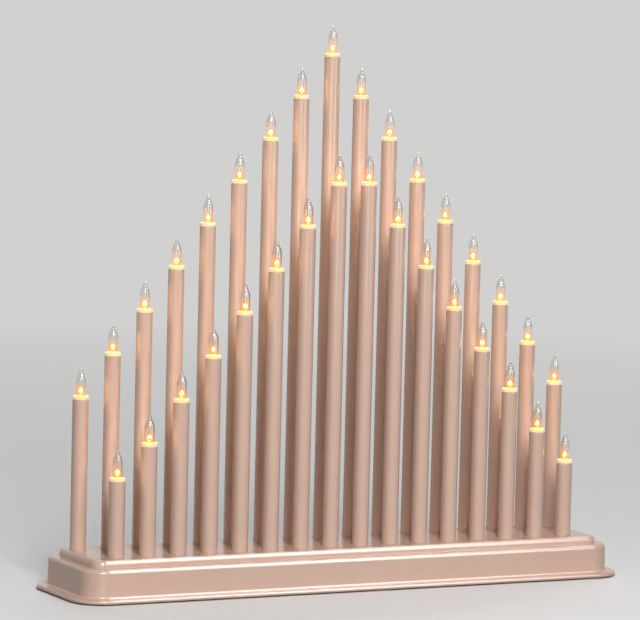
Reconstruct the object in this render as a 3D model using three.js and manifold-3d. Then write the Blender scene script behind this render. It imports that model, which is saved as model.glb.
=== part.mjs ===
// Electric advent candlestick: 33 candles in two rows on a long base, each with a push-in lamp.
// Millimetres, +Z up, the front faces -Y, and the origin is under the middle of the base.
import * as THREE from 'three';
import { mergeVertices } from 'three/addons/utils/BufferGeometryUtils.js';
import Module from 'manifold-3d';

const wasm = await Module();
wasm.setup();
const { Manifold, Mesh: SolidMesh } = wasm;

// Candles
const backCount = 17;
const frontCount = 16;
const candlePitch = 25;
const rowSpacing = 41;
const candleDiameter = 12;
const candleWall = 1.8;
const backPeakHeight = 366.8; // deck to the top of the middle collar, back row
const frontPeakHeight = 272.6; // deck to the top of the two middle collars, front row
const candleStep = 31.6; // each candle is this much lower than its inner neighbour
const frontEndRise = 6.8; // the two outer front candles stand this much over the even step

// Lamps
const collarHeight = 2.5;
const collarChamfer = 0.4;
const glassDiameter = 7.2;
const glassStraightHeight = 10.5;
const glassTaperHeight = 7.4;
const glassNeckDiameter = 2.1; // where the taper ends
const glassTipHeight = 2.5;
const glassTipDiameter = 2.6; // of the small knob over the neck
const plugLength = 12;

// Base shell
const endMargin = 27; // outer candle to the end of the flange
const sideMargin = 32.5; // candle row to the long edge of the flange
const flangeCornerRadius = 25;
const flangeThickness = 2.8;
const flangeEdgeRadius = 0.8;
const wallInset = 7.7; // flange edge to the foot of the wall
const wallDraft = 0.4;
const footFillet = 2.4;
const shoulderRadius = 3;
const baseHeight = 29.4; // flange underside to deck
const deckInset = 8.6; // wall to the side of the raised deck
const deckRise = 5.7; // ledge to deck
const deckRimRadius = 3.4;
const shellWall = 2.2;

// Bottom cover, its hooks and the pads under it
const coverThickness = 2.2;
const coverRebate = 1.5; // how far the cover's edge reaches past the cavity
const hooksPerSide = 4;
const hookWidth = 9;
const hookThickness = 1.6;
const hookNub = 0.8;
const catchRise = 6.5; // cover to the underside of a catch
const catchDepth = 1.2;
const catchHeight = 1.4;
const padDiameter = 14;
const padThickness = 2;
const padDrop = 1; // how far the pads stand out under the flange
const padEdgeGap = 8.2;

// Candle feet under the deck
const footThickness = 2.4;
const footRim = 2.5;

// Wiring and terminal block
const wireThickness = 3.2;
const riserDiameter = 3;
const contactLength = 8;
const wireRise = 2.8; // terminal block to the wiring runs
const terminalLength = 30;
const terminalDepth = 12;
const terminalHeight = 10;
const terminalOffset = 45; // from the lead's hole along X
const terminalBore = 3.8;
const terminalPinDiameter = 2.4;
const terminalPinHeight = 4;
const dropDepth = 2; // how far a wire drops into the terminal block

// Bushing of the lead's hole
const leadBore = 8;
const bushWall = 1.6;
const bushRim = 1.4;
const bushRimThickness = 2;
const bushOverhang = 1.4;

// Fits and smoothness
const fitGap = 0.3;
const sinkIn = 0.5; // joined pieces reach this far into each other
const cutPast = 1; // cuts run this far past a face
const candleSides = 14;
const lampSides = 10;
const taperSteps = 3;
const wireSides = 6;
const bushSides = 16;
const cornerSteps = 6;
const bigEdgeSteps = 4;
const smallEdgeSteps = 2;

// Places worked out from the sizes above
const flangeLength = (backCount - 1) * candlePitch + 2 * endMargin;
const flangeDepth = rowSpacing + 2 * sideMargin;
const flangeUnder = padDrop;
const flangeTop = flangeUnder + flangeThickness;
const deckTop = flangeUnder + baseHeight;
const ledgeTop = deckTop - deckRise;
const deckUnder = deckTop - shellWall;
const deckEdgeInset = wallInset + deckInset;
const cavityInset = wallInset + wallDraft + shellWall;
const cavityHalfDepth = flangeDepth / 2 - cavityInset;
const coverTop = flangeUnder + coverThickness;
const coverSeatInset = cavityInset - coverRebate;
const catchUnder = coverTop + catchRise;
const footTop = deckUnder - fitGap;
const footUnder = footTop - footThickness;
const footWidth = candleDiameter + 2 * footRim;
const candleBore = candleDiameter - 2 * candleWall;
const plugDiameter = candleBore - 2 * fitGap;
const terminalUnder = coverTop + fitGap;
const terminalTop = terminalUnder + terminalHeight;
const wireUnder = terminalTop + wireRise;
const wireTop = wireUnder + wireThickness;
const leadZ = (flangeTop + footFillet + ledgeTop - shoulderRadius) / 2; // middle of the wall
const sleeveDiameter = leadBore + 2 * bushWall;

// Where each candle of a row stands, and how high its collar reaches.
function candlePlaces(row, count, y, peak, endRise) {
  const middle = (count - 1) / 2;
  return Array.from({ length: count }, (_, index) => {
    const fromMiddle = Math.abs(index - middle);
    const rise = fromMiddle === middle ? endRise : 0;
    const collarTop = deckTop + peak - candleStep * Math.floor(fromMiddle) + rise;
    return {
      name: `${row}_${String(index + 1).padStart(2, '0')}`,
      x: (index - middle) * candlePitch,
      y,
      collarTop,
      tubeTop: collarTop - collarHeight - fitGap,
    };
  });
}

const backCandles = candlePlaces('back', backCount, rowSpacing / 2, backPeakHeight, 0);
const frontCandles = candlePlaces('front', frontCount, -rowSpacing / 2, frontPeakHeight, frontEndRise);
const allCandles = [...backCandles, ...frontCandles];

const straightLength = flangeLength - 2 * flangeCornerRadius;
const hookPlaces = [-1, 1].flatMap((side) => Array.from({ length: hooksPerSide }, (_, index) => ({
  x: (index - (hooksPerSide - 1) / 2) * (straightLength / hooksPerSide),
  side,
})));

const padInset = coverSeatInset + padEdgeGap + padDiameter / 2;
const padPlaces = [[-1, -1], [1, -1], [1, 1], [-1, 1]].map(([sideX, sideY]) => ({
  x: sideX * (flangeLength / 2 - padInset),
  y: sideY * (flangeDepth / 2 - padInset),
}));

const terminalY = rowSpacing / 2;
const terminalPinPlaces = [-1, 1].map((side) => ({ x: terminalOffset + side * terminalLength / 3, y: terminalY }));
const dropPlaces = [-1, 1].map((side) => ({ x: terminalOffset + side * terminalLength / 6, y: terminalY }));

function finish(name, color, roughness, opacity = 1) {
  return new THREE.MeshStandardMaterial({
    name, color, roughness, metalness: 0, opacity, transparent: opacity < 1,
  });
}

const shellPlastic = () => finish('shell plastic', 0xe2c3ad, 0.28);
const candlePlastic = () => finish('candle plastic', 0xe0bfa8, 0.34);
const lampGlass = () => finish('lamp glass', 0xf6d9a0, 0.05, 0.6);
const coverPlastic = () => finish('cover plastic', 0xcdb29d, 0.55);
const padRubber = () => finish('pad rubber', 0x3a3735, 0.85);
const bushPlastic = () => finish('bush plastic', 0xd8bda8, 0.45);
const terminalPlastic = () => finish('terminal plastic', 0xece7dc, 0.5);
const wireSleeve = () => finish('wire sleeve', 0xd9cdb8, 0.6);

// A closed geometry as a solid that can be joined and cut, and back again.
function toSolid(geometry) {
  const bare = geometry.clone();
  bare.deleteAttribute('normal');
  bare.deleteAttribute('uv');
  const merged = mergeVertices(bare, 1e-4);
  return new Manifold(new SolidMesh({
    numProp: 3,
    vertProperties: new Float32Array(merged.attributes.position.array),
    triVerts: new Uint32Array(merged.index.array),
  }));
}

function toGeometry(solid) {
  const mesh = solid.getMesh();
  const geometry = new THREE.BufferGeometry();
  geometry.setAttribute('position', new THREE.BufferAttribute(new Float32Array(mesh.vertProperties), 3));
  geometry.setIndex(new THREE.BufferAttribute(new Uint32Array(mesh.triVerts), 1));
  geometry.computeVertexNormals();
  return geometry;
}

const joined = (solids) => solids.reduce((all, next) => all.add(next));
const cutBy = (solid, tools) => tools.reduce((left, tool) => left.subtract(tool), solid);

// A block between two opposite corners, given in any order.
function block(cornerA, cornerB) {
  const size = cornerA.map((value, axis) => Math.abs(cornerB[axis] - value));
  const geometry = new THREE.BoxGeometry(...size);
  geometry.translate(...cornerA.map((value, axis) => (value + cornerB[axis]) / 2));
  return toSolid(geometry);
}

// An upright round bar between two heights.
function bar({ x, y }, low, high, diameter, sides) {
  const geometry = new THREE.CylinderGeometry(diameter / 2, diameter / 2, high - low, sides);
  geometry.rotateX(Math.PI / 2);
  geometry.translate(x, y, (low + high) / 2);
  return toSolid(geometry);
}

// A round bar along Y on the lead's axis.
function leadBar(low, high, diameter) {
  const geometry = new THREE.CylinderGeometry(diameter / 2, diameter / 2, high - low, bushSides);
  geometry.translate(0, (low + high) / 2, leadZ);
  return toSolid(geometry);
}

// The base outline, drawn in by an inset, at one height.
function baseRing(inset, z) {
  const radius = flangeCornerRadius - inset;
  const centreX = flangeLength / 2 - flangeCornerRadius;
  const centreY = flangeDepth / 2 - flangeCornerRadius;
  const ring = [];
  [[1, 1], [-1, 1], [-1, -1], [1, -1]].forEach(([sideX, sideY], quarter) => {
    for (let step = 0; step <= cornerSteps; step += 1) {
      const angle = (quarter + step / cornerSteps) * Math.PI / 2;
      ring.push([sideX * centreX + radius * Math.cos(angle), sideY * centreY + radius * Math.sin(angle), z]);
    }
  });
  return ring;
}

// A closed solid through a stack of base outlines, given as [inset, height] from the bottom up.
function stacked(profile) {
  const rings = profile.map(([inset, z]) => baseRing(inset, z));
  const count = rings[0].length;
  const faces = [];
  for (let level = 0; level < rings.length - 1; level += 1) {
    for (let side = 0; side < count; side += 1) {
      const next = (side + 1) % count;
      const low = level * count;
      const high = low + count;
      faces.push(low + side, low + next, high + next, low + side, high + next, high + side);
    }
  }
  const top = (rings.length - 1) * count;
  for (let side = 1; side < count - 1; side += 1) {
    faces.push(0, side + 1, side);
    faces.push(top, top + side, top + side + 1);
  }
  const geometry = new THREE.BufferGeometry();
  geometry.setAttribute('position', new THREE.BufferAttribute(new Float32Array(rings.flat(2)), 3));
  geometry.setIndex(faces);
  return toSolid(geometry);
}

// Profile points of a rounded outer edge, from the upright side to the flat top.
function roundedEdge(inset, top, radius, steps) {
  return Array.from({ length: steps + 1 }, (_, step) => {
    const angle = (step / steps) * Math.PI / 2;
    return [inset + radius * (1 - Math.cos(angle)), top - radius * (1 - Math.sin(angle))];
  });
}

// Profile points of a hollow fillet, from the flat below to the upright side.
function hollowFillet(inset, bottom, radius, steps) {
  return Array.from({ length: steps + 1 }, (_, step) => {
    const angle = (step / steps) * Math.PI / 2;
    return [inset - radius * (1 - Math.sin(angle)), bottom + radius * (1 - Math.cos(angle))];
  });
}

// A rib inside the long wall, which a hook of the cover snaps over.
function catchRib({ x, side }) {
  const halfWidth = hookWidth / 2 + cutPast;
  return block(
    [x - halfWidth, side * (cavityHalfDepth + sinkIn), catchUnder],
    [x + halfWidth, side * (cavityHalfDepth - catchDepth), catchUnder + catchHeight],
  );
}

function baseShell() {
  const outside = stacked([
    [flangeEdgeRadius, flangeUnder],
    ...roundedEdge(0, flangeTop, flangeEdgeRadius, smallEdgeSteps),
    ...hollowFillet(wallInset, flangeTop, footFillet, smallEdgeSteps),
    ...roundedEdge(wallInset + wallDraft, ledgeTop, shoulderRadius, bigEdgeSteps),
    [deckEdgeInset, ledgeTop],
    ...roundedEdge(deckEdgeInset, deckTop, deckRimRadius, bigEdgeSteps),
  ]);
  const cavity = stacked([
    [cavityInset, flangeUnder - cutPast],
    [cavityInset, ledgeTop - shellWall],
    [deckEdgeInset + shellWall, ledgeTop - shellWall],
    [deckEdgeInset + shellWall, deckUnder],
  ]);
  const coverSeat = stacked([
    [coverSeatInset, flangeUnder - cutPast],
    [coverSeatInset, coverTop + fitGap],
  ]);
  const candleHoles = allCandles.map((candle) =>
    bar(candle, deckUnder - cutPast, deckTop + cutPast, candleDiameter + 2 * fitGap, candleSides));
  const leadHole = leadBar(cavityHalfDepth - cutPast, flangeDepth / 2, sleeveDiameter + 2 * fitGap);
  const hollow = cutBy(outside, [cavity, coverSeat]);
  return cutBy(joined([hollow, ...hookPlaces.map(catchRib)]), [...candleHoles, leadHole]);
}

// A hook of the cover: an upright tongue with a nub that lies over its catch.
function coverHook({ x, side }) {
  const outerY = cavityHalfDepth - catchDepth - fitGap;
  const nubUnder = catchUnder + catchHeight + fitGap;
  const nubTop = nubUnder + hookThickness;
  const left = x - hookWidth / 2;
  const right = x + hookWidth / 2;
  const tongue = block([left, side * (outerY - hookThickness), coverTop - sinkIn], [right, side * outerY, nubTop]);
  const nub = block([left, side * (outerY - sinkIn), nubUnder], [right, side * (outerY + hookNub), nubTop]);
  return tongue.add(nub);
}

function bottomCover() {
  const plate = stacked([
    [coverSeatInset + fitGap, flangeUnder],
    [coverSeatInset + fitGap, coverTop],
  ]);
  const pins = terminalPinPlaces.map((where) =>
    bar(where, coverTop - sinkIn, coverTop + terminalPinHeight, terminalPinDiameter, lampSides));
  const padRecesses = padPlaces.map((where) =>
    bar(where, flangeUnder - cutPast, padThickness + fitGap, padDiameter + 2 * fitGap, bushSides));
  return cutBy(joined([plate, ...hookPlaces.map(coverHook), ...pins]), padRecesses);
}

// One candle, or two that share the strip under the deck, with the bore for lamp and wire.
function candles(places) {
  const tubes = places.map((place) => bar(place, footUnder, place.tubeTop, candleDiameter, candleSides));
  const feet = places.map((place) => bar(place, footUnder, footTop, footWidth, candleSides));
  const bores = places.map((place) =>
    bar(place, footUnder - cutPast, place.tubeTop + cutPast, candleBore, candleSides));
  const strips = places.slice(1).map((place, index) => footStrip(places[index], place));
  return cutBy(joined([...tubes, ...feet, ...strips]), bores);
}

function footStrip(from, to) {
  const alongX = to.x - from.x;
  const alongY = to.y - from.y;
  const geometry = new THREE.BoxGeometry(Math.hypot(alongX, alongY), footWidth, footThickness);
  geometry.rotateZ(Math.atan2(alongY, alongX));
  geometry.translate(from.x + alongX / 2, from.y + alongY / 2, (footTop + footUnder) / 2);
  return toSolid(geometry);
}

// A lamp: the plug inside the tube, the collar on its rim, and the pointed glass.
function lamp({ x, y, collarTop }) {
  const collarRadius = candleDiameter / 2;
  const glassRadius = glassDiameter / 2;
  const neckRadius = glassNeckDiameter / 2;
  const taperTop = glassStraightHeight + glassTaperHeight;
  const taper = Array.from({ length: taperSteps }, (_, step) => {
    const share = (step + 1) / taperSteps;
    return [glassRadius - (glassRadius - neckRadius) * share ** 2, glassStraightHeight + glassTaperHeight * share];
  });
  const profile = [
    [0, -collarHeight - plugLength],
    [plugDiameter / 2, -collarHeight - plugLength],
    [plugDiameter / 2, -collarHeight],
    [collarRadius, -collarHeight],
    [collarRadius, -collarChamfer],
    [collarRadius - collarChamfer, 0],
    [glassRadius, 0],
    [glassRadius, glassStraightHeight],
    ...taper,
    [glassTipDiameter / 2, taperTop + glassTipHeight / 2],
    [0, taperTop + glassTipHeight],
  ];
  const points = profile.map(([radius, height]) => new THREE.Vector2(radius, height));
  const geometry = new THREE.LatheGeometry(points, lampSides);
  geometry.rotateX(Math.PI / 2);
  geometry.translate(x, y, collarTop);
  return toSolid(geometry);
}

function leadBushing() {
  const innerEnd = cavityHalfDepth - bushOverhang;
  const rimUnder = flangeDepth / 2 - wallInset + fitGap;
  const rimTop = rimUnder + bushRimThickness;
  const sleeve = leadBar(innerEnd, rimUnder + sinkIn, sleeveDiameter);
  const rim = leadBar(rimUnder, rimTop, sleeveDiameter + 2 * bushRim);
  const bore = leadBar(innerEnd - cutPast, rimTop + cutPast, leadBore);
  return cutBy(sleeve.add(rim), [bore]);
}

// The block that joins the lead to the wiring, held on two pins of the cover.
function terminalBlock() {
  const halfLength = terminalLength / 2;
  const halfDepth = terminalDepth / 2;
  const body = block(
    [terminalOffset - halfLength, terminalY - halfDepth, terminalUnder],
    [terminalOffset + halfLength, terminalY + halfDepth, terminalTop],
  );
  const leadBores = [-1, 1].map((side) => {
    const geometry = new THREE.CylinderGeometry(
      terminalBore / 2, terminalBore / 2, terminalLength + 2 * cutPast, lampSides);
    geometry.rotateZ(Math.PI / 2);
    geometry.translate(terminalOffset, terminalY + side * halfDepth / 2, (terminalUnder + terminalTop) / 2);
    return toSolid(geometry);
  });
  const pinHoles = terminalPinPlaces.map((where) =>
    bar(where, terminalUnder - cutPast, coverTop + terminalPinHeight + fitGap,
      terminalPinDiameter + 2 * fitGap, lampSides));
  const dropHoles = dropPlaces.map((where) =>
    bar(where, terminalTop - dropDepth, terminalTop + cutPast, riserDiameter + 2 * fitGap, wireSides));
  return cutBy(body, [...leadBores, ...pinHoles, ...dropHoles]);
}

// The wiring: a run under each row, a link at each end, a riser and contact block in each candle,
// and two wires that drop into the terminal block.
function wiring() {
  const half = wireThickness / 2;
  const endX = backCandles[backCount - 1].x;
  const rowY = rowSpacing / 2;
  const runs = [-rowY, rowY].map((y) =>
    block([-endX - half, y - half, wireUnder], [endX + half, y + half, wireTop]));
  const links = [-endX, endX].map((x) =>
    block([x - half, -rowY, wireUnder], [x + half, rowY, wireTop]));
  const risers = allCandles.flatMap((candle) => {
    const contactTop = candle.tubeTop - plugLength - fitGap;
    const contactUnder = contactTop - contactLength;
    return [
      bar(candle, wireUnder + half, contactUnder + sinkIn, riserDiameter, wireSides),
      bar(candle, contactUnder, contactTop, plugDiameter, wireSides),
    ];
  });
  const drops = dropPlaces.map((where) =>
    bar(where, terminalTop - dropDepth + fitGap, wireUnder + half, riserDiameter, wireSides));
  return joined([...runs, ...links, ...risers, ...drops]);
}

const model = new THREE.Group();

function place(name, solid, material) {
  const mesh = new THREE.Mesh(toGeometry(solid), material);
  mesh.name = name;
  model.add(mesh);
}

place('base_shell', baseShell(), shellPlastic());
place('bottom_cover', bottomCover(), coverPlastic());
padPlaces.forEach((where, index) => {
  place(`pad_${index + 1}`, bar(where, 0, padThickness, padDiameter, bushSides), padRubber());
});
place('lead_bushing', leadBushing(), bushPlastic());
place('terminal_block', terminalBlock(), terminalPlastic());
place('wiring', wiring(), wireSleeve());

// Each front candle shares its foot strip with the back candle on its outer side.
const middleIndex = (backCount - 1) / 2;
place('candle_middle', candles([backCandles[middleIndex]]), candlePlastic());
frontCandles.forEach((front, index) => {
  const back = backCandles[index < middleIndex ? index : index + 1];
  place(`candle_pair_${String(index + 1).padStart(2, '0')}`, candles([back, front]), candlePlastic());
});
allCandles.forEach((candle) => place(`lamp_${candle.name}`, lamp(candle), lampGlass()));

export default model;
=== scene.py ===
# Electric advent candlestick: moulded base, 33 tubes and 33 push-in lamps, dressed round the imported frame.
import math
import bmesh
import bpy
from mathutils import Matrix, Vector


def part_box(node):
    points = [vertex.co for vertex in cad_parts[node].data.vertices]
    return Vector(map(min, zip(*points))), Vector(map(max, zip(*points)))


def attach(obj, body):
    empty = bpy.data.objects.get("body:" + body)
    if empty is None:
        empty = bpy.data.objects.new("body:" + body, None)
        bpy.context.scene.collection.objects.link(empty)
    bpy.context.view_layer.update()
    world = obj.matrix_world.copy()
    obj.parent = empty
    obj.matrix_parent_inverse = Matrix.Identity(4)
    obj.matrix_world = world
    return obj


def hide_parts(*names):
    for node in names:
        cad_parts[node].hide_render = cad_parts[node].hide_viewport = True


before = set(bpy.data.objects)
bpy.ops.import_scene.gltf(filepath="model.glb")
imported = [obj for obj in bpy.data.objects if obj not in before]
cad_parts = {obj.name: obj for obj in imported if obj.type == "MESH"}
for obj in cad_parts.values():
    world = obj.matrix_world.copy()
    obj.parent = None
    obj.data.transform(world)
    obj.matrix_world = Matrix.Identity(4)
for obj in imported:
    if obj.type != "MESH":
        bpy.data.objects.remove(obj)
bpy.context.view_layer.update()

mm = 0.001
tiny = 0.01 * mm  # places closer than this count as the same


# Working by hand: what is active, what is selected, and the finishing touches

def workOn(piece):
    bpy.ops.object.select_all(action="DESELECT")
    piece.select_set(True)
    bpy.context.view_layer.objects.active = piece


def openMesh(piece):
    workOn(piece)
    bpy.ops.object.mode_set(mode="EDIT")
    bpy.ops.mesh.select_all(action="DESELECT")


def closeMesh():
    bpy.ops.object.mode_set(mode="OBJECT")


def pickFaces(piece, test):
    bpy.ops.mesh.select_mode(type="FACE")
    bpy.ops.mesh.select_all(action="DESELECT")
    shape = bmesh.from_edit_mesh(piece.data)
    for face in shape.faces:
        if test(face.calc_center_median(), face.normal):
            face.select_set(True)
    bmesh.update_edit_mesh(piece.data)


def pickEdges(piece, test):
    bpy.ops.mesh.select_mode(type="EDGE")
    bpy.ops.mesh.select_all(action="DESELECT")
    shape = bmesh.from_edit_mesh(piece.data)
    for edge in shape.edges:
        if test(edge.verts[0].co, edge.verts[1].co):
            edge.select_set(True)
    bmesh.update_edit_mesh(piece.data)


def near(value, goal):
    return abs(value - goal) < tiny


def roundEdge(z, least=0.0, most=1.0):
    # Picks the edges of a level round rim between these radii.
    def onRim(a, b):
        return near(a.z, z) and near(b.z, z) and least < Vector(a.xy).length < most
    return onRim


def extrudeUp(rise):
    bpy.ops.mesh.extrude_region_move(TRANSFORM_OT_translate={"value": (0, 0, rise)})


def bevelPicked(radius, segments):
    bpy.ops.mesh.bevel(offset=radius, segments=segments, profile=0.5, affect="EDGES", clamp_overlap=False)


def openThrough(piece, foot):
    # Opens a sunk bore at the foot: its bottom and the face below it go, and a ring joins the two rims.
    pickFaces(piece, lambda middle, normal: abs(normal.z) > 0.9 and middle.z < foot + mm)
    bpy.ops.mesh.delete(type="FACE")
    pickEdges(piece, lambda a, b: near(a.z, b.z) and a.z < foot + mm)
    bpy.ops.mesh.bridge_edge_loops()


def faceOutward():
    bpy.ops.mesh.select_all(action="SELECT")
    bpy.ops.mesh.normals_make_consistent(inside=False)


def joinAll(pieces):
    bpy.ops.object.select_all(action="DESELECT")
    for piece in pieces:
        piece.select_set(True)
    bpy.context.view_layer.objects.active = pieces[0]
    bpy.ops.object.join()
    return bpy.context.active_object


def applyModifier(piece, kind, **values):
    workOn(piece)
    modifier = piece.modifiers.new(kind.title(), kind)
    for name, value in values.items():
        setattr(modifier, name, value)
    bpy.ops.object.modifier_apply(modifier=modifier.name)


def smoothFinish(piece, angle=35):
    # Smooth rounded edges between true flat faces.
    workOn(piece)
    bpy.ops.object.shade_smooth_by_angle(angle=math.radians(angle))
    applyModifier(piece, "WEIGHTED_NORMAL", weight=60, keep_sharp=True)


def copyPiece(master, name):
    piece = bpy.data.objects.new(name, master.data.copy())
    piece.data.name = name
    bpy.context.scene.collection.objects.link(piece)
    return piece


def dress(piece, material):
    piece.data.materials.clear()
    piece.data.materials.append(material)


# Materials

noiseLow, noiseHigh = 0.3, 0.7  # a noise seldom leaves this range


def startMaterial(name, **sockets):
    material = bpy.data.materials.new(name)
    material.use_nodes = True
    shader = material.node_tree.nodes["Principled BSDF"]
    for socket, value in sockets.items():
        shader.inputs[socket.replace("_", " ")].default_value = value
    return material, material.node_tree, shader


def addNode(tree, kind, **inputs):
    node = tree.nodes.new(kind)
    for name, value in inputs.items():
        node.inputs[name].default_value = value
    return node


def objectNoise(tree, scale, stretch=(1, 1, 1), detail=2.0):
    place = tree.nodes.new("ShaderNodeTexCoord")
    mapping = addNode(tree, "ShaderNodeMapping", Scale=stretch)
    noise = addNode(tree, "ShaderNodeTexNoise", Scale=scale, Detail=detail)
    tree.links.new(place.outputs["Object"], mapping.inputs["Vector"])
    tree.links.new(mapping.outputs["Vector"], noise.inputs["Vector"])
    return noise.outputs["Fac"]


def blendColours(tree, factor, dark, light):
    ramp = tree.nodes.new("ShaderNodeValToRGB")
    ramp.color_ramp.elements[0].position = noiseLow
    ramp.color_ramp.elements[0].color = (*dark, 1)
    ramp.color_ramp.elements[1].position = noiseHigh
    ramp.color_ramp.elements[1].color = (*light, 1)
    tree.links.new(factor, ramp.inputs["Fac"])
    return ramp.outputs["Color"]


def mapTo(tree, factor, low, high, fromLow=noiseLow, fromHigh=noiseHigh):
    spread = tree.nodes.new("ShaderNodeMapRange")
    for name, value in (("From Min", fromLow), ("From Max", fromHigh), ("To Min", low), ("To Max", high)):
        spread.inputs[name].default_value = value
    tree.links.new(factor, spread.inputs["Value"])
    return spread.outputs["Result"]


def calculate(tree, operation, *terms):
    # Each term is a number or the output of another node.
    node = tree.nodes.new("ShaderNodeMath")
    node.operation = operation
    for socket, term in zip(node.inputs, terms):
        if isinstance(term, float):
            socket.default_value = term
        else:
            tree.links.new(term, socket)
    return node.outputs[0]


def bumpFrom(tree, factor, shader, strength, distance):
    bump = addNode(tree, "ShaderNodeBump", Strength=strength, Distance=distance)
    tree.links.new(factor, bump.inputs["Height"])
    tree.links.new(bump.outputs["Normal"], shader.inputs["Normal"])


pearl = {
    "dark": (0.615, 0.422, 0.332),
    "light": (0.64, 0.443, 0.352),
    "swirlSize": 16 * mm,
    "cloudSize": 90 * mm,
    "share": 0.5,  # of the swirls, and of the clouds
    "waveSize": 11 * mm,
    "wave": 0.03,
    "waveDepth": 0.03 * mm,
    "glossSize": 8 * mm,
    "shellGloss": (0.19, 0.22),
    "tubeGloss": (0.235, 0.262),
    "metallic": 0.08,
    "coat": 0.36,
    "coatGloss": 0.19,
    "sheen": 0.35,  # specular level under the coat
}


def pearlPlastic(name, gloss):
    # Champagne plastic: the mica's faint swirls over slow clouds, and a coat for the moulded gloss.
    material, tree, shader = startMaterial(
        name, Metallic=pearl["metallic"], Coat_Weight=pearl["coat"], Coat_Roughness=pearl["coatGloss"],
        Specular_IOR_Level=pearl["sheen"], IOR=1.46)
    swirl = objectNoise(tree, 1 / pearl["swirlSize"], detail=1.0)
    cloud = objectNoise(tree, 1 / pearl["cloudSize"])
    share = pearl["share"]
    both = calculate(tree, "MULTIPLY_ADD", swirl, share, calculate(tree, "MULTIPLY", cloud, share))
    tree.links.new(blendColours(tree, both, pearl["dark"], pearl["light"]), shader.inputs["Base Color"])
    grease = objectNoise(tree, 1 / pearl["glossSize"])
    tree.links.new(mapTo(tree, grease, *gloss), shader.inputs["Roughness"])
    waves = objectNoise(tree, 1 / pearl["waveSize"], detail=0.0)
    bumpFrom(tree, waves, shader, pearl["wave"], pearl["waveDepth"])
    return material


satin = {
    "mottleSize": 9 * mm,
    "mottleDetail": 4.0,
    "glossSize": 3 * mm,
    "grain": 0.25,
    "grainDepth": 0.03 * mm,
    "kinds": {  # darker and lighter colour, gloss, size of the grain
        "coverSatin": ((0.46, 0.31, 0.24), (0.53, 0.37, 0.29), (0.42, 0.55), 0.7 * mm),
        "bushSatin": ((0.5, 0.33, 0.26), (0.57, 0.39, 0.31), (0.36, 0.46), 0.6 * mm),
        "terminalIvory": ((0.7, 0.66, 0.56), (0.8, 0.76, 0.67), (0.4, 0.52), 0.8 * mm),
        "wireSleeve": ((0.6, 0.5, 0.38), (0.7, 0.6, 0.47), (0.45, 0.6), 0.5 * mm),
        "padRubber": ((0.03, 0.028, 0.026), (0.06, 0.056, 0.052), (0.7, 0.85), 0.5 * mm),
    },
}


def satinPlastic(name, dark, light, gloss, grainSize):
    material, tree, shader = startMaterial(name, IOR=1.48)
    mottle = objectNoise(tree, 1 / satin["mottleSize"], detail=satin["mottleDetail"])
    tree.links.new(blendColours(tree, mottle, dark, light), shader.inputs["Base Color"])
    grease = objectNoise(tree, 1 / satin["glossSize"])
    tree.links.new(mapTo(tree, grease, *gloss), shader.inputs["Roughness"])
    bumpFrom(tree, objectNoise(tree, 1 / grainSize), shader, satin["grain"], satin["grainDepth"])
    return material


def lampHeight(tree):
    # The lamp pieces carry a UV map: U from the axis outwards, V from the collar's top to the tip.
    place = tree.nodes.new("ShaderNodeUVMap")
    place.uv_map = "lampMap"
    apart = tree.nodes.new("ShaderNodeSeparateXYZ")
    tree.links.new(place.outputs["UV"], apart.inputs["Vector"])
    return apart.outputs["X"], apart.outputs["Y"]


glassLook = {
    # painted glow: the clear glass is tinted orange and lit low down, standing in for the filament's light
    "glowTint": (1.0, 0.75, 0.46),
    "clear": (0.9, 0.885, 0.865),
    "glowTintTop": 0.56,  # share of the glass, from the collar up, with the filament's painted glow
    # painted shade: the glass darkens where it turns from view, standing in for dark surroundings seen
    # through its edges
    "rim": (0.3, 0.26, 0.24),
    "rimFrom": 0.45,  # how far the glass turns away before its painted shade begins
    "rimTo": 0.95,
    "glow": (1.0, 0.34, 0.04),
    "strength": 0.2,
    "glossSize": 2 * mm,
    "gloss": (0.0, 0.03),
}


def lampGlass():
    material, tree, shader = startMaterial("lampGlass", Transmission_Weight=1.0, IOR=1.46)
    _, height = lampHeight(tree)
    # Painted glow of the filament: orange low on the glass, fading to clear further up.
    ramp = tree.nodes.new("ShaderNodeValToRGB")
    ramp.color_ramp.interpolation = "EASE"
    ramp.color_ramp.elements[0].position = 0.0
    ramp.color_ramp.elements[0].color = (*glassLook["glowTint"], 1)
    ramp.color_ramp.elements[1].position = glassLook["glowTintTop"]
    ramp.color_ramp.elements[1].color = (*glassLook["clear"], 1)
    tree.links.new(height, ramp.inputs["Fac"])
    # Painted shade at the glass's edges, darker as the surface turns from view.
    facing = tree.nodes.new("ShaderNodeLayerWeight")
    edges = tree.nodes.new("ShaderNodeMix")
    edges.data_type = "RGBA"
    edges.blend_type = "MULTIPLY"
    edges.inputs["B"].default_value = (*glassLook["rim"], 1)
    away = mapTo(tree, facing.outputs["Facing"], 0.0, 1.0, glassLook["rimFrom"], glassLook["rimTo"])
    tree.links.new(away, edges.inputs["Factor"])
    tree.links.new(ramp.outputs["Color"], edges.inputs["A"])
    tree.links.new(edges.outputs["Result"], shader.inputs["Base Color"])
    # Painted glow: the glass's lower part emits, fading out upwards.
    shader.inputs["Emission Color"].default_value = (*glassLook["glow"], 1)
    tree.links.new(mapTo(tree, height, glassLook["strength"], 0, 0.0, glassLook["glowTintTop"]),
                   shader.inputs["Emission Strength"])
    grease = objectNoise(tree, 1 / glassLook["glossSize"])
    tree.links.new(mapTo(tree, grease, *glassLook["gloss"]), shader.inputs["Roughness"])
    return material


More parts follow.
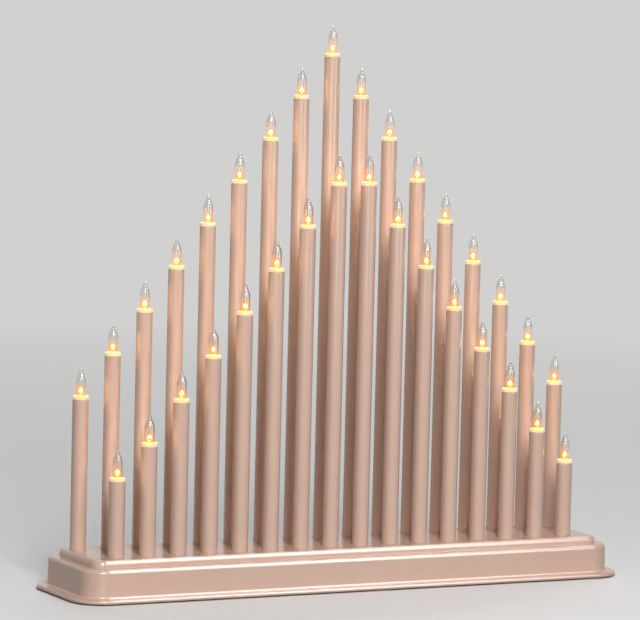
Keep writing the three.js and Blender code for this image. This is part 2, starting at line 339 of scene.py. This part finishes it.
collarLook = {
    "dark": (0.84, 0.6, 0.39),
    "light": (0.9, 0.67, 0.45),
    "mottleSize": 2.5 * mm,
    "milk": 0.15,  # share of the light that goes in
    "milkDepth": (3 * mm, 2 * mm, 1 * mm),
    # painted glow of the filament's light through the collar, stronger beside the glass and fading towards
    # the tube
    "glow": (1.0, 0.68, 0.27),
    "strength": 0.4,
    "inner": 1.5,  # times stronger beside the glass
    "lower": 0.7,  # share of the strength that is left at the tube
    "fadeSpan": (-0.13, -0.05),  # of the lamp map's V
    "glossSize": 4 * mm,
    "gloss": (0.32, 0.42),
    "grainSize": 0.4 * mm,
    "grain": 0.1,
    "grainDepth": 0.02 * mm,
}


def collarPlastic():
    # Ivory plastic, lit through from the middle: its emission is painted glow of the filament's light.
    material, tree, shader = startMaterial("collarPlastic", Subsurface_Weight=collarLook["milk"], IOR=1.49)
    shader.inputs["Subsurface Radius"].default_value = collarLook["milkDepth"]
    mottle = objectNoise(tree, 1 / collarLook["mottleSize"])
    tree.links.new(blendColours(tree, mottle, collarLook["dark"], collarLook["light"]),
                   shader.inputs["Base Color"])
    outward, height = lampHeight(tree)
    shader.inputs["Emission Color"].default_value = (*collarLook["glow"], 1)
    strength = collarLook["strength"]
    spread = mapTo(tree, outward, strength * collarLook["inner"], strength, 0.5, 1.0)
    fade = mapTo(tree, height, collarLook["lower"], 1.0, *collarLook["fadeSpan"])
    tree.links.new(calculate(tree, "MULTIPLY", spread, fade), shader.inputs["Emission Strength"])
    grease = objectNoise(tree, 1 / collarLook["glossSize"])
    tree.links.new(mapTo(tree, grease, *collarLook["gloss"]), shader.inputs["Roughness"])
    grains = objectNoise(tree, 1 / collarLook["grainSize"])
    bumpFrom(tree, grains, shader, collarLook["grain"], collarLook["grainDepth"])
    return material


wireLook = {
    "dark": (0.42, 0.33, 0.24),
    "light": (0.68, 0.58, 0.46),
    "mottleSize": 0.8 * mm,
    "glossSize": 0.5 * mm,
    "gloss": (0.22, 0.4),
}


def leadWire():
    material, tree, shader = startMaterial("leadWire", Metallic=1.0)
    mottle = objectNoise(tree, 1 / wireLook["mottleSize"])
    tree.links.new(blendColours(tree, mottle, wireLook["dark"], wireLook["light"]),
                   shader.inputs["Base Color"])
    grease = objectNoise(tree, 1 / wireLook["glossSize"])
    tree.links.new(mapTo(tree, grease, *wireLook["gloss"]), shader.inputs["Roughness"])
    return material


filamentLook = {
    "cold": (0.3, 0.25, 0.2),
    "dark": (1.0, 0.62, 0.22),
    "light": (1.0, 0.72, 0.34),
    "mottleSize": 0.6 * mm,
    "strength": 130.0,
}


def hotFilament():
    material, tree, shader = startMaterial("hotFilament", Roughness=0.6)
    shader.inputs["Base Color"].default_value = (*filamentLook["cold"], 1)
    mottle = objectNoise(tree, 1 / filamentLook["mottleSize"])
    tree.links.new(blendColours(tree, mottle, filamentLook["dark"], filamentLook["light"]),
                   shader.inputs["Emission Color"])
    shader.inputs["Emission Strength"].default_value = filamentLook["strength"]
    return material


shellFinish = pearlPlastic("shellPearl", pearl["shellGloss"])
tubeFinish = pearlPlastic("tubePearl", pearl["tubeGloss"])
satinFinish = {name: satinPlastic(name, *look) for name, look in satin["kinds"].items()}
glassFinish = lampGlass()
collarFinish = collarPlastic()
wireFinish = leadWire()
filamentFinish = hotFilament()
print("materials made")


# Base shell: one moulding from flange to deck, hollow underneath, with the candle holes and the lead's hole

base = {
    "cornerRadius": 25 * mm,
    "flangeThickness": 2.8 * mm,
    "flangeEdge": 1.4 * mm,
    "flangeUnder": 0.7 * mm,
    "wallInset": 7.7 * mm,
    "draft": 0.4 * mm,
    "footFillet": 1.5 * mm,
    "shoulderRadius": 3 * mm,
    "deckInset": 8.2 * mm,  # top of the wall to the raised deck
    "deckRise": 5.7 * mm,
    "deckRim": 3.4 * mm,
    "wall": 2.2 * mm,
    "seatInset": 8.8 * mm,  # flange edge to the edge of the cover's seat
    "seatDepth": 2.5 * mm,
    "seatWidth": 1.5 * mm,
    "tubeHole": 12.6 * mm,
    "leadHole": 11.8 * mm,
    "leadCut": 20 * mm,
    "holeSides": 32,
    "cornerSteps": 14,
}
baseLow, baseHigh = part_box("base_shell")
baseSize = baseHigh - baseLow
deckTop = baseHigh.z
ledgeTop = deckTop - base["deckRise"]
flangeTop = baseLow.z + base["flangeThickness"]

lampNames = sorted(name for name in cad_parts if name.startswith("lamp_"))
holderNames = sorted(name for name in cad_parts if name.startswith("candle_"))


def lampPlace(name):
    low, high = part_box(name)
    return Vector(((low.x + high.x) / 2, (low.y + high.y) / 2, low.z)), high.z


def holderOf(place):
    for name in holderNames:
        low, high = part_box(name)
        if low.x < place.x < high.x and low.y < place.y < high.y:
            return name


def outlineInset(point):
    # How far a point lies inside the flange's outline, its round corners included.
    radius = base["cornerRadius"]
    pastX = abs(point.x) - baseSize.x / 2 + radius
    pastY = abs(point.y) - baseSize.y / 2 + radius
    if pastX > 0 and pastY > 0:
        return radius - math.hypot(pastX, pastY)
    return radius - max(pastX, pastY)


def makeBaseShell():
    bpy.ops.object.select_all(action="DESELECT")
    bpy.ops.mesh.primitive_cube_add(size=1, location=(0, 0, baseLow.z + base["flangeThickness"] / 2))
    shell = bpy.context.active_object
    shell.name = "shell_body"
    shell.scale = (baseSize.x, baseSize.y, base["flangeThickness"])
    bpy.ops.object.transform_apply(location=True, rotation=True, scale=True)
    openMesh(shell)
    pickEdges(shell, lambda a, b: not near(a.z, b.z))
    bevelPicked(base["cornerRadius"], base["cornerSteps"])

    # Up from the flange: wall with a little draft, ledge, then the raised deck.
    pickFaces(shell, lambda middle, normal: normal.z > 0.9)
    bpy.ops.mesh.inset(thickness=base["wallInset"])
    extrudeUp(ledgeTop - flangeTop)
    lengthLeft = baseSize.x - 2 * base["wallInset"]
    depthLeft = baseSize.y - 2 * base["wallInset"]
    drawIn = 2 * base["draft"]
    bpy.ops.transform.resize(value=(1 - drawIn / lengthLeft, 1 - drawIn / depthLeft, 1))
    bpy.ops.mesh.inset(thickness=base["deckInset"])
    extrudeUp(base["deckRise"])

    # Down below: the cover's seat, then the hollow up to the ledge and up into the deck.
    pickFaces(shell, lambda middle, normal: normal.z < -0.9)
    bpy.ops.mesh.inset(thickness=base["seatInset"])
    extrudeUp(base["seatDepth"])
    bpy.ops.mesh.inset(thickness=base["seatWidth"])
    extrudeUp(ledgeTop - base["wall"] - baseLow.z - base["seatDepth"])
    bpy.ops.mesh.inset(thickness=base["deckInset"])
    extrudeUp(base["deckRise"])

    def ring(z, insetLow, insetHigh):
        def onRing(a, b):
            return all(near(point.z, z) and insetLow < outlineInset(point) < insetHigh for point in (a, b))
        return onRing
    wallTop = base["wallInset"] + base["draft"]
    deckEdge = wallTop + base["deckInset"]
    rings = [
        (ring(deckTop, deckEdge - mm, baseSize.y), base["deckRim"], 5),
        (ring(ledgeTop, 0, deckEdge - mm), base["shoulderRadius"], 6),
        (ring(flangeTop, mm, baseSize.y), base["footFillet"], 5),
        (ring(flangeTop, -mm, mm), base["flangeEdge"], 4),
        (ring(baseLow.z, -mm, mm), base["flangeUnder"], 3),
    ]
    for test, radius, segments in rings:
        pickEdges(shell, test)
        bevelPicked(radius, segments)
    closeMesh()
    return shell


def cutHoles(shell):
    cutters = []
    for name in lampNames:
        place, _ = lampPlace(name)
        bpy.ops.mesh.primitive_cylinder_add(
            vertices=base["holeSides"], radius=base["tubeHole"] / 2, depth=4 * base["wall"],
            location=(place.x, place.y, deckTop))
        cutters.append(bpy.context.active_object)
    bushLow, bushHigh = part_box("lead_bushing")
    bpy.ops.mesh.primitive_cylinder_add(
        vertices=base["holeSides"], radius=base["leadHole"] / 2, depth=base["leadCut"],
        rotation=(math.pi / 2, 0, 0),
        location=((bushLow.x + bushHigh.x) / 2, bushLow.y + mm, (bushLow.z + bushHigh.z) / 2))
    cutters.append(bpy.context.active_object)
    tool = joinAll(cutters)
    bpy.ops.object.transform_apply(location=True, rotation=True, scale=True)
    applyModifier(shell, "BOOLEAN", operation="DIFFERENCE", solver="EXACT", object=tool)
    bpy.data.objects.remove(tool)


shellBody = makeBaseShell()
cutHoles(shellBody)
smoothFinish(shellBody, 40)
dress(shellBody, shellFinish)
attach(shellBody, "base")
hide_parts("base_shell")
print("base shell made")


# Candles: one tube on its foot, copied and stretched to each height

candle = {
    "diameter": 12 * mm,
    "wall": 1.8 * mm,
    "footRim": 2.5 * mm,
    "footThickness": 2.4 * mm,
    "rimRound": 0.45 * mm,
    "boreRound": 0.25 * mm,
    "masterRise": 60 * mm,
    "underCollar": 0.3 * mm,
    "sides": 48,
}
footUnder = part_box("candle_middle")[0].z


def makeCandleMaster():
    tubeRadius = candle["diameter"] / 2
    footRadius = tubeRadius + candle["footRim"]
    footTop = footUnder + candle["footThickness"]
    top = footTop + candle["masterRise"]
    bpy.ops.object.select_all(action="DESELECT")
    bpy.ops.mesh.primitive_cylinder_add(
        vertices=candle["sides"], radius=footRadius, depth=candle["footThickness"],
        location=(0, 0, (footUnder + footTop) / 2))
    tube = bpy.context.active_object
    bpy.ops.object.transform_apply(location=True, rotation=True, scale=True)
    openMesh(tube)
    pickFaces(tube, lambda middle, normal: normal.z > 0.9)
    bpy.ops.mesh.inset(thickness=candle["footRim"])
    extrudeUp(candle["masterRise"])
    bpy.ops.mesh.inset(thickness=candle["wall"])
    extrudeUp(footUnder - top + tiny * 10)
    openThrough(tube, footUnder)
    boreRadius = tubeRadius - candle["wall"]
    pickEdges(tube, roundEdge(top, least=boreRadius + mm))
    bevelPicked(candle["rimRound"], 4)
    pickEdges(tube, roundEdge(top, most=boreRadius + tiny))
    bevelPicked(candle["boreRound"], 2)
    faceOutward()
    closeMesh()
    smoothFinish(tube, 50)
    dress(tube, tubeFinish)
    return tube, top


lampSettings = {
    "plugLength": 12 * mm,
    "collarHeight": 2.5 * mm,
    "collarRadius": 6 * mm,
    "collarRound": 0.45 * mm,
    "collarGroove": 0.15 * mm,
    "plugRadius": 3.8 * mm,
    "plugUpper": 0.6,  # share of the plug above its step
    "plugStep": 0.35 * mm,
    "plugTaper": 0.86,
    "plugRound": 0.4 * mm,
    "glassRadius": 3.6 * mm,
    "glassWall": 0.45 * mm,
    "glassFoot": 3.3 * mm,
    "footFlare": 1.2 * mm,  # height at which the glass has its full width
    "seatDepth": 0.5 * mm,
    "seatGap": 0.25 * mm,  # beside the glass
    "seatUnder": 0.1 * mm,  # below the glass
    "seatRound": 0.2 * mm,
    "straight": 10.5 * mm,
    "taper": 7.4 * mm,
    "archSteps": 12,
    "neckRadius": 1.05 * mm,
    "tip": 2.5 * mm,
    "tipRadius": 1.3 * mm,
    "tipSteps": 8,
    "firstTurn": 25,  # degrees; each lamp is turned a step further, so neighbours differ
    "turnStep": 47,
    "sides": 32,
}

tubeMaster, masterTop = makeCandleMaster()
for lampName in lampNames:
    place, _ = lampPlace(lampName)
    tubeTop = place.z + lampSettings["plugLength"] - candle["underCollar"]
    tube = copyPiece(tubeMaster, lampName.replace("lamp_", "candle_"))
    for vertex in tube.data.vertices:
        if vertex.co.z > footUnder + candle["masterRise"] / 2:
            vertex.co.z += tubeTop - masterTop
        vertex.co.x += place.x
        vertex.co.y += place.y
    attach(tube, "base")
    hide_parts(holderOf(place))
bpy.data.objects.remove(tubeMaster)
print("candles made:", len(lampNames))


# Lamps: collar with its plug, clear pointed glass, lead wires and filament. The masters stand with the
# collar's top at zero height.

def latheSteps(piece, steps):
    # Grows the open top ring of a piece through radii and heights, given as (radius, height) pairs.
    radius, height = steps[0]
    for nextRadius, nextHeight in steps[1:]:
        extrudeUp(nextHeight - height)
        scale = nextRadius / radius
        bpy.ops.transform.resize(value=(scale, scale, 1))
        radius, height = nextRadius, nextHeight


def ringOf(radius, height, sides):
    bpy.ops.object.select_all(action="DESELECT")
    bpy.ops.mesh.primitive_circle_add(
        vertices=sides, radius=radius, location=(0, 0, height), fill_type="NOTHING")
    piece = bpy.context.active_object
    bpy.ops.object.transform_apply(location=True, rotation=True, scale=True)
    openMesh(piece)
    bpy.ops.mesh.select_mode(type="EDGE")
    bpy.ops.mesh.select_all(action="SELECT")
    return piece


def mapLamp(piece):
    # U runs from the axis outwards to the collar's edge, V from the collar's top to the tip.
    reach = lampSettings["straight"] + lampSettings["taper"] + lampSettings["tip"]
    layers = piece.data.uv_layers
    layer = layers[0] if layers else layers.new(name="lampMap")
    layer.name = "lampMap"
    for loop in piece.data.loops:
        point = piece.data.vertices[loop.vertex_index].co
        outward = Vector(point.xy).length / lampSettings["collarRadius"]
        layer.data[loop.index].uv = (outward, point.z / reach)


def glassProfile():
    # Foot, straight side, pointed arch and the small drawn-off tip.
    full = lampSettings["glassRadius"]
    straight, taper = lampSettings["straight"], lampSettings["taper"]
    neck = lampSettings["neckRadius"]
    steps = [(lampSettings["glassFoot"], -lampSettings["seatDepth"]), (full, lampSettings["footFlare"]),
             (full, straight)]
    archSteps = lampSettings["archSteps"]
    for step in range(1, archSteps + 1):
        share = step / archSteps
        steps.append((full - (full - neck) * share ** 2, straight + taper * share))
    tipSteps = lampSettings["tipSteps"]
    tipHalf = lampSettings["tip"] / 2
    lowest = math.acos(neck / lampSettings["tipRadius"])
    highest = math.pi / 2 - 0.03  # just short of the top, which is merged later
    for step in range(1, tipSteps + 1):
        angle = -lowest + (highest + lowest) * step / tipSteps
        steps.append((lampSettings["tipRadius"] * math.cos(angle),
                      straight + taper + tipHalf * (1 + math.sin(angle))))
    return steps


def makeGlassMaster():
    steps = glassProfile()
    glass = ringOf(*steps[0], lampSettings["sides"])
    latheSteps(glass, steps)
    bpy.ops.mesh.merge(type="CENTER")
    faceOutward()
    closeMesh()
    applyModifier(glass, "SOLIDIFY", thickness=lampSettings["glassWall"], offset=-1, use_even_offset=False)
    workOn(glass)
    bpy.ops.object.shade_smooth_by_angle(angle=math.radians(60))
    mapLamp(glass)
    dress(glass, glassFinish)
    return glass


def makeCollarMaster():
    under = -lampSettings["collarHeight"]
    radius = lampSettings["collarRadius"]
    bpy.ops.object.select_all(action="DESELECT")
    bpy.ops.mesh.primitive_cylinder_add(
        vertices=lampSettings["sides"], radius=radius, depth=-under, location=(0, 0, under / 2))
    collar = bpy.context.active_object
    bpy.ops.object.transform_apply(location=True, rotation=True, scale=True)
    openMesh(collar)
    # The seat that the glass stands in.
    pickFaces(collar, lambda middle, normal: normal.z > 0.9)
    bpy.ops.mesh.inset(thickness=radius - lampSettings["glassRadius"] - lampSettings["seatGap"])
    extrudeUp(-lampSettings["seatDepth"] - lampSettings["seatUnder"])
    # The plug, tapered to its foot, with a small step.
    pickFaces(collar, lambda middle, normal: normal.z < -0.9)
    bpy.ops.mesh.inset(thickness=radius - lampSettings["plugRadius"])
    extrudeUp(-lampSettings["plugUpper"] * lampSettings["plugLength"])
    bpy.ops.mesh.inset(thickness=lampSettings["plugStep"])
    extrudeUp(-(1 - lampSettings["plugUpper"]) * lampSettings["plugLength"])
    bpy.ops.transform.resize(value=(lampSettings["plugTaper"], lampSettings["plugTaper"], 1))
    foot = under - lampSettings["plugLength"]
    for edge, size, segments in (
            (roundEdge(0, radius - mm, radius + mm), lampSettings["collarRound"], 4),
            (roundEdge(0, 0, radius - mm), lampSettings["seatRound"], 2),
            (roundEdge(under, radius - mm, radius + mm), lampSettings["collarGroove"], 2),
            (roundEdge(foot, 0, radius), lampSettings["plugRound"], 3)):
        pickEdges(collar, edge)
        bevelPicked(size, segments)
    closeMesh()
    smoothFinish(collar, 50)
    mapLamp(collar)
    dress(collar, collarFinish)
    return collar


def wireAlong(name, points, radius, sides=8):
    curve = bpy.data.curves.new(name, "CURVE")
    curve.dimensions = "3D"
    curve.bevel_depth = radius
    curve.bevel_resolution = max(0, sides // 4 - 1)
    curve.use_fill_caps = True
    line = curve.splines.new("POLY")
    line.points.add(len(points) - 1)
    for spot, point in zip(line.points, points):
        spot.co = (*point, 1)
    piece = bpy.data.objects.new(name, curve)
    bpy.context.scene.collection.objects.link(piece)
    workOn(piece)
    bpy.ops.object.convert(target="MESH")
    return bpy.context.active_object


def bentPath(points, steps=5):
    # Rounds the corners of a path with short arcs.
    path = [Vector(points[0])]
    for before, here, after in zip(points, points[1:], points[2:]):
        before, here, after = Vector(before), Vector(here), Vector(after)
        reach = min((here - before).length, (after - here).length) * 0.4
        start = here + (before - here).normalized() * reach
        end = here + (after - here).normalized() * reach
        for step in range(steps + 1):
            share = step / steps
            path.append(start.lerp(here, share).lerp(here.lerp(end, share), share))
    path.append(Vector(points[-1]))
    return path


wire = {
    "radius": 0.17 * mm,
    "spread": 0.75 * mm,
    "foldOut": 0.93,  # share of the plug's radius
    "foldTop": 2 * mm,  # below the collar
    "foldKnee": 4 * mm,  # this and the next two above the plug's end
    "foldFoot": 0.3 * mm,
    "foldInside": 1.6 * mm,
    "foldTuck": 0.5 * mm,
    "riseFrom": -1.2 * mm,
    "hookUnder": 0.4 * mm,
    "hookOver": 0.25 * mm,
    "filamentHeight": 3.2 * mm,
    "filamentHalf": 1.35 * mm,
    "beadHeight": 1.3 * mm,
    "beadRadius": 0.85 * mm,
    "beadShape": (1.25, 0.85, 0.7),
    "coilRadius": 0.62 * mm,
    "coilWire": 0.16 * mm,
    "coilTurns": 7,
    "turnSteps": 10,
    "arch": 1.6 * mm,
}


def makeWireMaster():
    # Each lead comes out of the plug's foot, is folded up its side, and inside rises to the filament.
    foot = -lampSettings["collarHeight"] - lampSettings["plugLength"]
    outside = lampSettings["plugRadius"] * wire["foldOut"]
    bend = foot + wire["foldFoot"]
    parts = []
    for side in (-1, 1):
        folded = bentPath([
            (side * outside, 0, -lampSettings["collarHeight"] - wire["foldTop"]),
            (side * outside * 0.98, 0, foot + wire["foldKnee"]),
            (side * (outside - wire["foldTuck"]), 0, bend),
            (side * wire["spread"], 0, bend),
            (side * wire["spread"], 0, foot + wire["foldInside"]),
        ])
        parts.append(wireAlong("lead", folded, wire["radius"]))
        rising = bentPath([
            (side * wire["spread"], 0, wire["riseFrom"]),
            (side * wire["spread"] * 0.6, 0, wire["beadHeight"]),
            (side * wire["filamentHalf"], 0, wire["filamentHeight"] - wire["hookUnder"]),
            (side * wire["filamentHalf"], 0, wire["filamentHeight"] + wire["hookOver"]),
        ])
        parts.append(wireAlong("lead", rising, wire["radius"]))
    bpy.ops.mesh.primitive_uv_sphere_add(
        segments=16, ring_count=10, radius=wire["beadRadius"], location=(0, 0, wire["beadHeight"]))
    bead = bpy.context.active_object
    bead.scale = wire["beadShape"]
    bpy.ops.object.transform_apply(location=True, rotation=True, scale=True)
    parts.append(bead)
    wires = joinAll(parts)
    bpy.ops.object.shade_smooth_by_angle(angle=math.radians(50))
    dress(wires, wireFinish)
    return wires


def makeFilamentMaster():
    points = []
    steps = wire["coilTurns"] * wire["turnSteps"]
    for step in range(steps + 1):
        share = step / steps
        turn = share * wire["coilTurns"] * 2 * math.pi
        along = (share * 2 - 1) * wire["filamentHalf"]
        lift = wire["arch"] * math.cos(along / wire["filamentHalf"] * math.pi / 2)
        points.append((along, wire["coilRadius"] * math.cos(turn),
                       wire["filamentHeight"] + lift + wire["coilRadius"] * math.sin(turn)))
    filament = wireAlong("filament", points, wire["coilWire"], sides=4)
    bpy.ops.object.shade_smooth()
    dress(filament, filamentFinish)
    return filament


masters = {
    "collar": (makeCollarMaster(), "lamp_collar"),
    "glass": (makeGlassMaster(), "lamp_glass"),
    "leads": (makeWireMaster(), "lamp_wire"),
    "filament": (makeFilamentMaster(), "lamp_wire"),
}
print("lamp masters made")
for number, lampName in enumerate(lampNames):
    place, _ = lampPlace(lampName)
    collarTop = place.z + lampSettings["plugLength"] + lampSettings["collarHeight"]
    turn = lampSettings["firstTurn"] + lampSettings["turnStep"] * number
    turned = Matrix.Rotation(math.radians(turn), 4, "Z")
    moved = Matrix.Translation((place.x, place.y, collarTop)) @ turned
    for part, (master, slotName) in masters.items():
        piece = copyPiece(master, f"{lampName}_{part}")
        piece.data.transform(moved)
        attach(piece, lampName)
        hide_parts(lampName)
        if part == "glass":
            piece.visible_shadow = False  # lets the filament's light out
for master, _ in masters.values():
    bpy.data.objects.remove(master)
print("lamps made:", len(lampNames))


# Bushing of the lead's hole

bushing = {"bore": 8 * mm, "wall": 1.6 * mm, "rim": 1.4 * mm, "rimThickness": 2 * mm, "round": 0.5 * mm}


def makeBushing():
    low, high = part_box("lead_bushing")
    centre = (low + high) / 2
    bore = bushing["bore"] / 2
    sleeve = bore + bushing["wall"]
    length = high.y - low.y
    bpy.ops.object.select_all(action="DESELECT")
    bpy.ops.mesh.primitive_cylinder_add(
        vertices=48, radius=sleeve, depth=length - bushing["rimThickness"], end_fill_type="NGON")
    bush = bpy.context.active_object
    half = (length - bushing["rimThickness"]) / 2
    openMesh(bush)
    pickFaces(bush, lambda middle, normal: normal.z > 0.9)
    bpy.ops.mesh.extrude_region_move()
    bpy.ops.transform.resize(value=((sleeve + bushing["rim"]) / sleeve,) * 2 + (1,))
    extrudeUp(bushing["rimThickness"])
    bpy.ops.mesh.inset(thickness=bushing["wall"] + bushing["rim"])
    extrudeUp(-length + tiny * 10)
    openThrough(bush, -half)
    pickEdges(bush, roundEdge(half + bushing["rimThickness"]))
    bevelPicked(bushing["round"], 4)
    faceOutward()
    closeMesh()
    bush.name = "bush_of_lead"
    bush.rotation_euler = (-math.pi / 2, 0, 0)
    bush.location = (centre.x, low.y + half, centre.z)
    bpy.ops.object.transform_apply(location=True, rotation=True, scale=True)
    smoothFinish(bush, 45)
    dress(bush, satinFinish["bushSatin"])
    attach(bush, "base")
    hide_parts("lead_bushing")


makeBushing()
print("bushing made")


# Pieces whose solid is already right: cover, pads, terminal block and wiring

keptNodes = {"bottom_cover": "coverSatin", "terminal_block": "terminalIvory", "wiring": "wireSleeve"}
for index in range(1, 5):
    keptNodes[f"pad_{index}"] = "padRubber"
for nodeName, finish in keptNodes.items():
    dress(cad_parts[nodeName], satinFinish[finish])


# Stage, lights and camera

studio = {
    "floorSpan": 90.0,
    "aim": Vector((0, 0, 0.15)),
    "floorColour": (0.81, 0.805, 0.8),
    "floorShade": 0.99,  # of that colour, for the darker patches
    "floorPatches": 3.0,  # to a metre
    "floorGloss": 0.75,
    "plainColour": (0.64, 0.635, 0.63),  # the backdrop that the floor turns into
    "floorBounce": (0.22, 0.21, 0.2),  # what the floor throws back onto the object
    "floorFade": (0.4, 2.0),
    "worldColour": (1.0, 0.985, 0.97),
    "worldStrength": 0.09,
    "stripColour": (0.82, 0.9, 1.0),
}


def seenRays(tree):
    # 1 for what the camera, gloss and glass see, 0 for soft bounced light.
    path = tree.nodes.new("ShaderNodeLightPath")
    seen = path.outputs["Is Camera Ray"]
    for ray in ("Is Glossy Ray", "Is Transmission Ray"):
        seen = calculate(tree, "MAXIMUM", seen, path.outputs[ray])
    return seen


def turnPlain(tree, share, lit, plain, surface):
    # What is seen becomes the plain colour by this share.
    mix = tree.nodes.new("ShaderNodeMixShader")
    tree.links.new(calculate(tree, "MULTIPLY", seenRays(tree), share), mix.inputs["Fac"])
    tree.links.new(lit, mix.inputs[1])
    tree.links.new(plain, mix.inputs[2])
    tree.links.new(mix.outputs["Shader"], surface)


def makeStage():
    bpy.ops.object.select_all(action="DESELECT")
    bpy.ops.mesh.primitive_plane_add(size=studio["floorSpan"], location=(0, 0, 0))
    floor = bpy.context.active_object
    floor.name = "floor"
    material, tree, shader = startMaterial("paleFloor", Roughness=studio["floorGloss"])
    lighter = studio["floorColour"]
    darker = [channel * studio["floorShade"] for channel in lighter]
    pale = blendColours(tree, objectNoise(tree, studio["floorPatches"]), darker, lighter)
    bounce = tree.nodes.new("ShaderNodeMix")
    bounce.data_type = "RGBA"
    bounce.inputs["A"].default_value = (*studio["floorBounce"], 1)
    tree.links.new(seenRays(tree), bounce.inputs["Factor"])
    tree.links.new(pale, bounce.inputs["B"])
    tree.links.new(bounce.outputs["Result"], shader.inputs["Base Color"])
    place = tree.nodes.new("ShaderNodeTexCoord")
    away = tree.nodes.new("ShaderNodeVectorMath")
    away.operation = "LENGTH"
    tree.links.new(place.outputs["Object"], away.inputs[0])
    fade = mapTo(tree, away.outputs["Value"], 0, 1, *studio["floorFade"])
    plain = addNode(tree, "ShaderNodeEmission", Color=(*studio["plainColour"], 1))
    turnPlain(tree, fade, shader.outputs["BSDF"], plain.outputs["Emission"],
              tree.nodes["Material Output"].inputs["Surface"])
    dress(floor, material)

    world = bpy.data.worlds.new("studio")
    bpy.context.scene.world = world
    world.use_nodes = True
    tree = world.node_tree
    light = tree.nodes["Background"]
    light.inputs["Color"].default_value = (*studio["worldColour"], 1)
    light.inputs["Strength"].default_value = studio["worldStrength"]
    sky = addNode(tree, "ShaderNodeBackground", Color=(*studio["plainColour"], 1))
    turnPlain(tree, 1.0, light.outputs["Background"], sky.outputs["Background"],
              tree.nodes["World Output"].inputs["Surface"])


def around(azimuth, elevation, distance):
    # A place on a sphere round the object: azimuth 0 is straight in front, positive to the right.
    turn, rise = math.radians(azimuth), math.radians(elevation)
    return studio["aim"] + distance * Vector((
        math.sin(turn) * math.cos(rise), -math.cos(turn) * math.cos(rise), math.sin(rise)))


boxes = {
    # azimuth, elevation, distance, power, width, height, lean
    "frontBox": (-16, 32, 2.4, 54.0, 0.6, 1.6, 0),
    "backFill": (150, 48, 2.4, 14.0, 1.4, 1.6, 0),
    "rimStrip": (32.5, 38, 4.4, 142.0, 1.02, 4.2, -24),  # leans along what the rims and shoulder mirror
    "overStrip": (109, 63.8, 4.4, 166.0, 5.0, 1.02, -21.5),  # goes on where rimStrip ends
    "frontStreak": (-31, 12, 1.4, 2.8, 0.3, 0.7, 0),
    "sideStreak": (31, 12, 1.4, 3.0, 0.3, 0.7, 0),
}
strips = ("rimStrip", "overStrip")
streaks = ("frontStreak", "sideStreak")


def addLamp(name, azimuth, elevation, distance, power, width, height, lean):
    light = bpy.data.lights.new(name, "AREA")
    light.energy = power
    if name in strips:
        light.color = studio["stripColour"]
    light.shape = "RECTANGLE"
    light.size, light.size_y = width, height
    lamp = bpy.data.objects.new(name, light)
    bpy.context.scene.collection.objects.link(lamp)
    place = around(azimuth, elevation, distance)
    facing = (studio["aim"] - place).to_track_quat("-Z", "Y").to_matrix()
    leaning = facing @ Matrix.Rotation(math.radians(lean), 3, "Z")
    lamp.matrix_world = Matrix.Translation(place) @ leaning.to_4x4()
    lamp.visible_diffuse = name not in strips + streaks  # these are only seen as highlights
    lamp.visible_camera = False


view = {
    "azimuth": -26.72,
    "elevation": 5.268,
    "roll": 1.407,
    "distance": 3.0818,
    "target": (-0.01559, 0.0, 0.20592),
    "lens": 231.77,
    "sensor": 36.0,
}


def makeCamera():
    azimuth, elevation, roll = (math.radians(view[name]) for name in ("azimuth", "elevation", "roll"))
    back = Vector((math.sin(azimuth) * math.cos(elevation), -math.cos(azimuth) * math.cos(elevation),
                   math.sin(elevation)))
    right = Vector((math.cos(azimuth), math.sin(azimuth), 0))
    up = back.cross(right)
    turnedRight = right * math.cos(roll) + up * math.sin(roll)
    turnedUp = up * math.cos(roll) - right * math.sin(roll)
    data = bpy.data.cameras.new("camera")
    data.lens = view["lens"]
    data.sensor_width = view["sensor"]
    data.clip_start = 0.1
    data.clip_end = 200
    camera = bpy.data.objects.new("camera", data)
    bpy.context.scene.collection.objects.link(camera)
    camera.matrix_world = Matrix.Translation(Vector(view["target"]) + back * view["distance"]) @ Matrix(
        (turnedRight, turnedUp, back)).transposed().to_4x4()
    bpy.context.scene.camera = camera


makeStage()
for boxName, settings in boxes.items():
    addLamp(boxName, *settings)
makeCamera()
bpy.context.scene.view_settings.view_transform = "Standard"
print("stage, lights and camera made")
